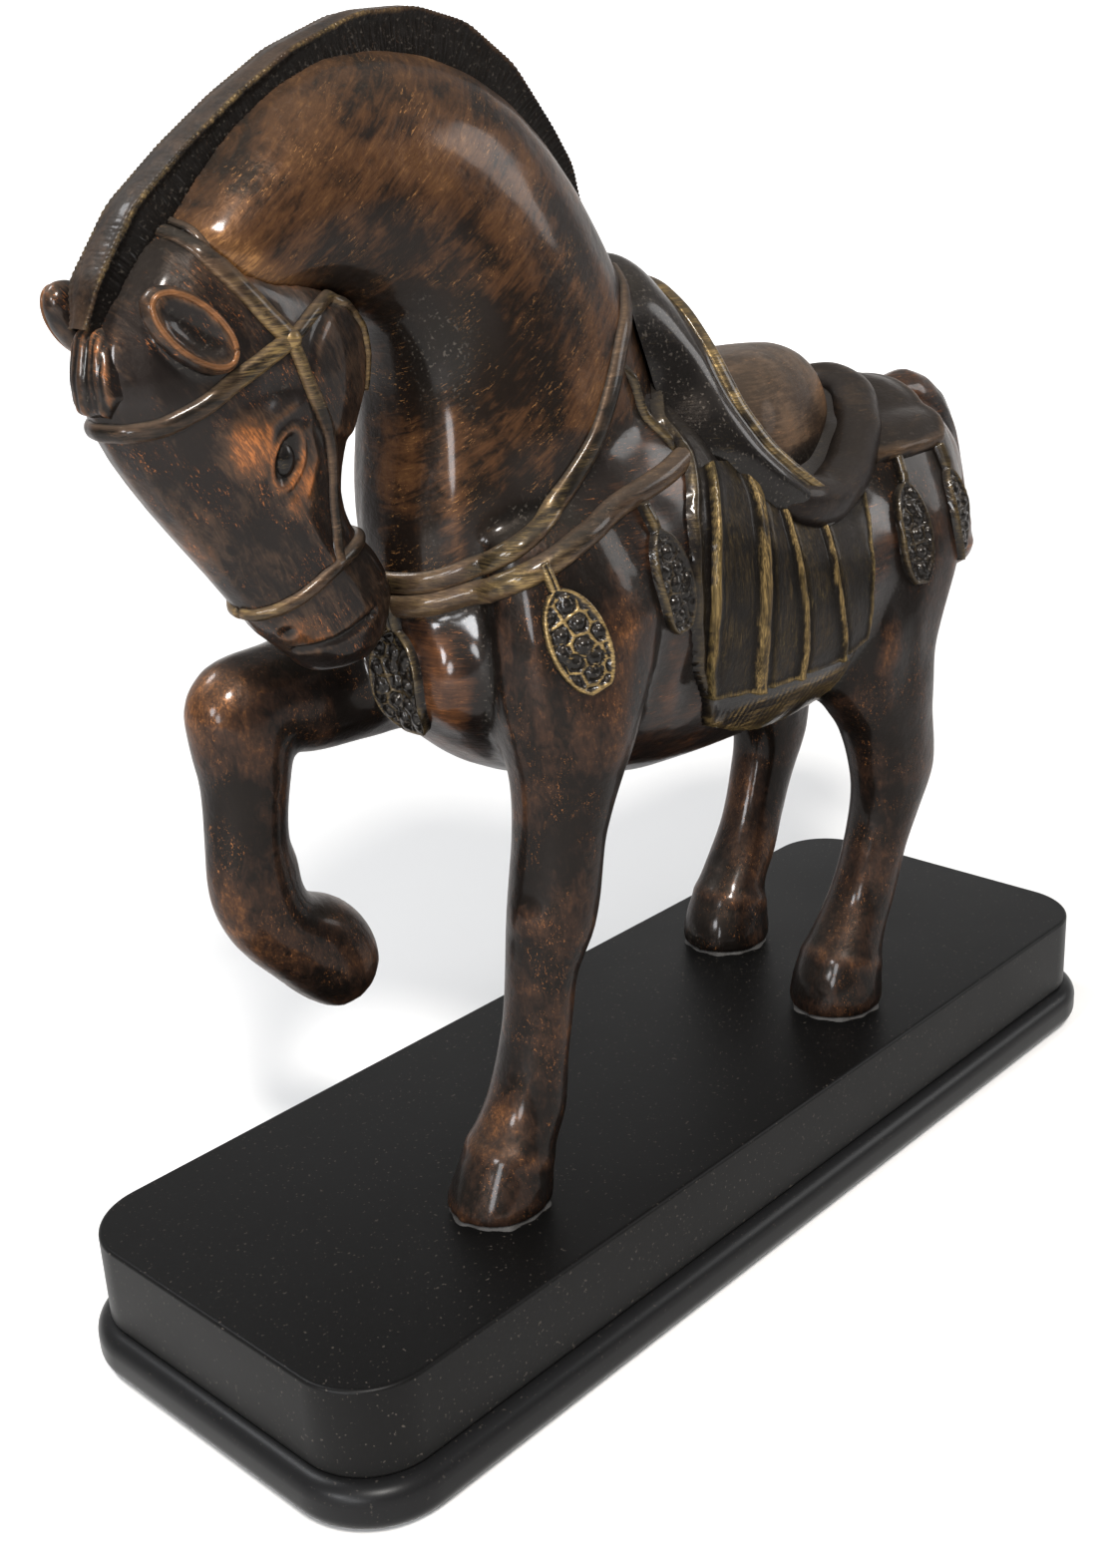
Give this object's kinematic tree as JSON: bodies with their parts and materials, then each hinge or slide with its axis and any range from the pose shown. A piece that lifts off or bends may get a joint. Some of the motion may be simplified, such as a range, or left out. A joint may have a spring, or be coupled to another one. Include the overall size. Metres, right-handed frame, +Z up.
{
  "type": "horse statuette",
  "caption": "Walking horse statuette in dark patinated bronze with one foreleg raised, saddled and bridled, on a moulded black plinth.",
  "frame": {"origin": "centre of the plinth's underside", "axes": "+Z up, -X towards the horse's head, -Y the horse's left side"},
  "size_m": [0.256, 0.092, 0.2467],
  "materials": {
    "bronze": "dark brown patina rubbed through to red-brown and orange on the high places",
    "dark_bronze": "near-black patina in the recesses with bright rubbed edges",
    "gilt_bronze": "dull gold rubbed ridges over black",
    "black_wood": "satin black lacquer",
    "black_felt": "matt",
    "steel": "plain zinc plated"
  },
  "bodies": {
    "root": {"torso": "bronze", "neck": "bronze", "head": "bronze", "left_foreleg": "bronze", "right_foreleg": "bronze", "left_hind_leg": "bronze", "right_hind_leg": "bronze", "tail": "bronze", "plinth_block": "black_wood", "plinth_moulding": "black_wood", "felt_pad": "black_felt", "screw_left_fore": "steel", "screw_left_hind": "steel", "screw_right_hind": "steel", "crownpiece": "dark_bronze", "mane": "dark_bronze", "forelock": "dark_bronze", "left_eye": "dark_bronze", "right_eye": "dark_bronze", "browband": "dark_bronze", "left_throatlatch": "dark_bronze", "right_throatlatch": "dark_bronze", "blanket": "dark_bronze", "saddle_panel": "dark_bronze", "saddle_arch": "dark_bronze", "neck_collar": "dark_bronze", "breast_strap": "dark_bronze", "left_ear": "bronze", "right_ear": "bronze", "saddle_seat": "bronze", "saddle_roll": "bronze", "rump_cover": "bronze", "noseband": "gilt_bronze", "left_cheek_strap": "gilt_bronze", "right_cheek_strap": "gilt_bronze", "left_skirt": "gilt_bronze", "right_skirt": "gilt_bronze", "left_side_pendant": "gilt_bronze", "right_side_pendant": "gilt_bronze", "left_front_pendant": "gilt_bronze", "right_front_pendant": "gilt_bronze", "left_rump_front_pendant": "gilt_bronze", "right_rump_front_pendant": "gilt_bronze", "left_rump_rear_pendant": "gilt_bronze", "right_rump_rear_pendant": "gilt_bronze", "centre_pendant": "gilt_bronze"}
  },
  "joints": []
}
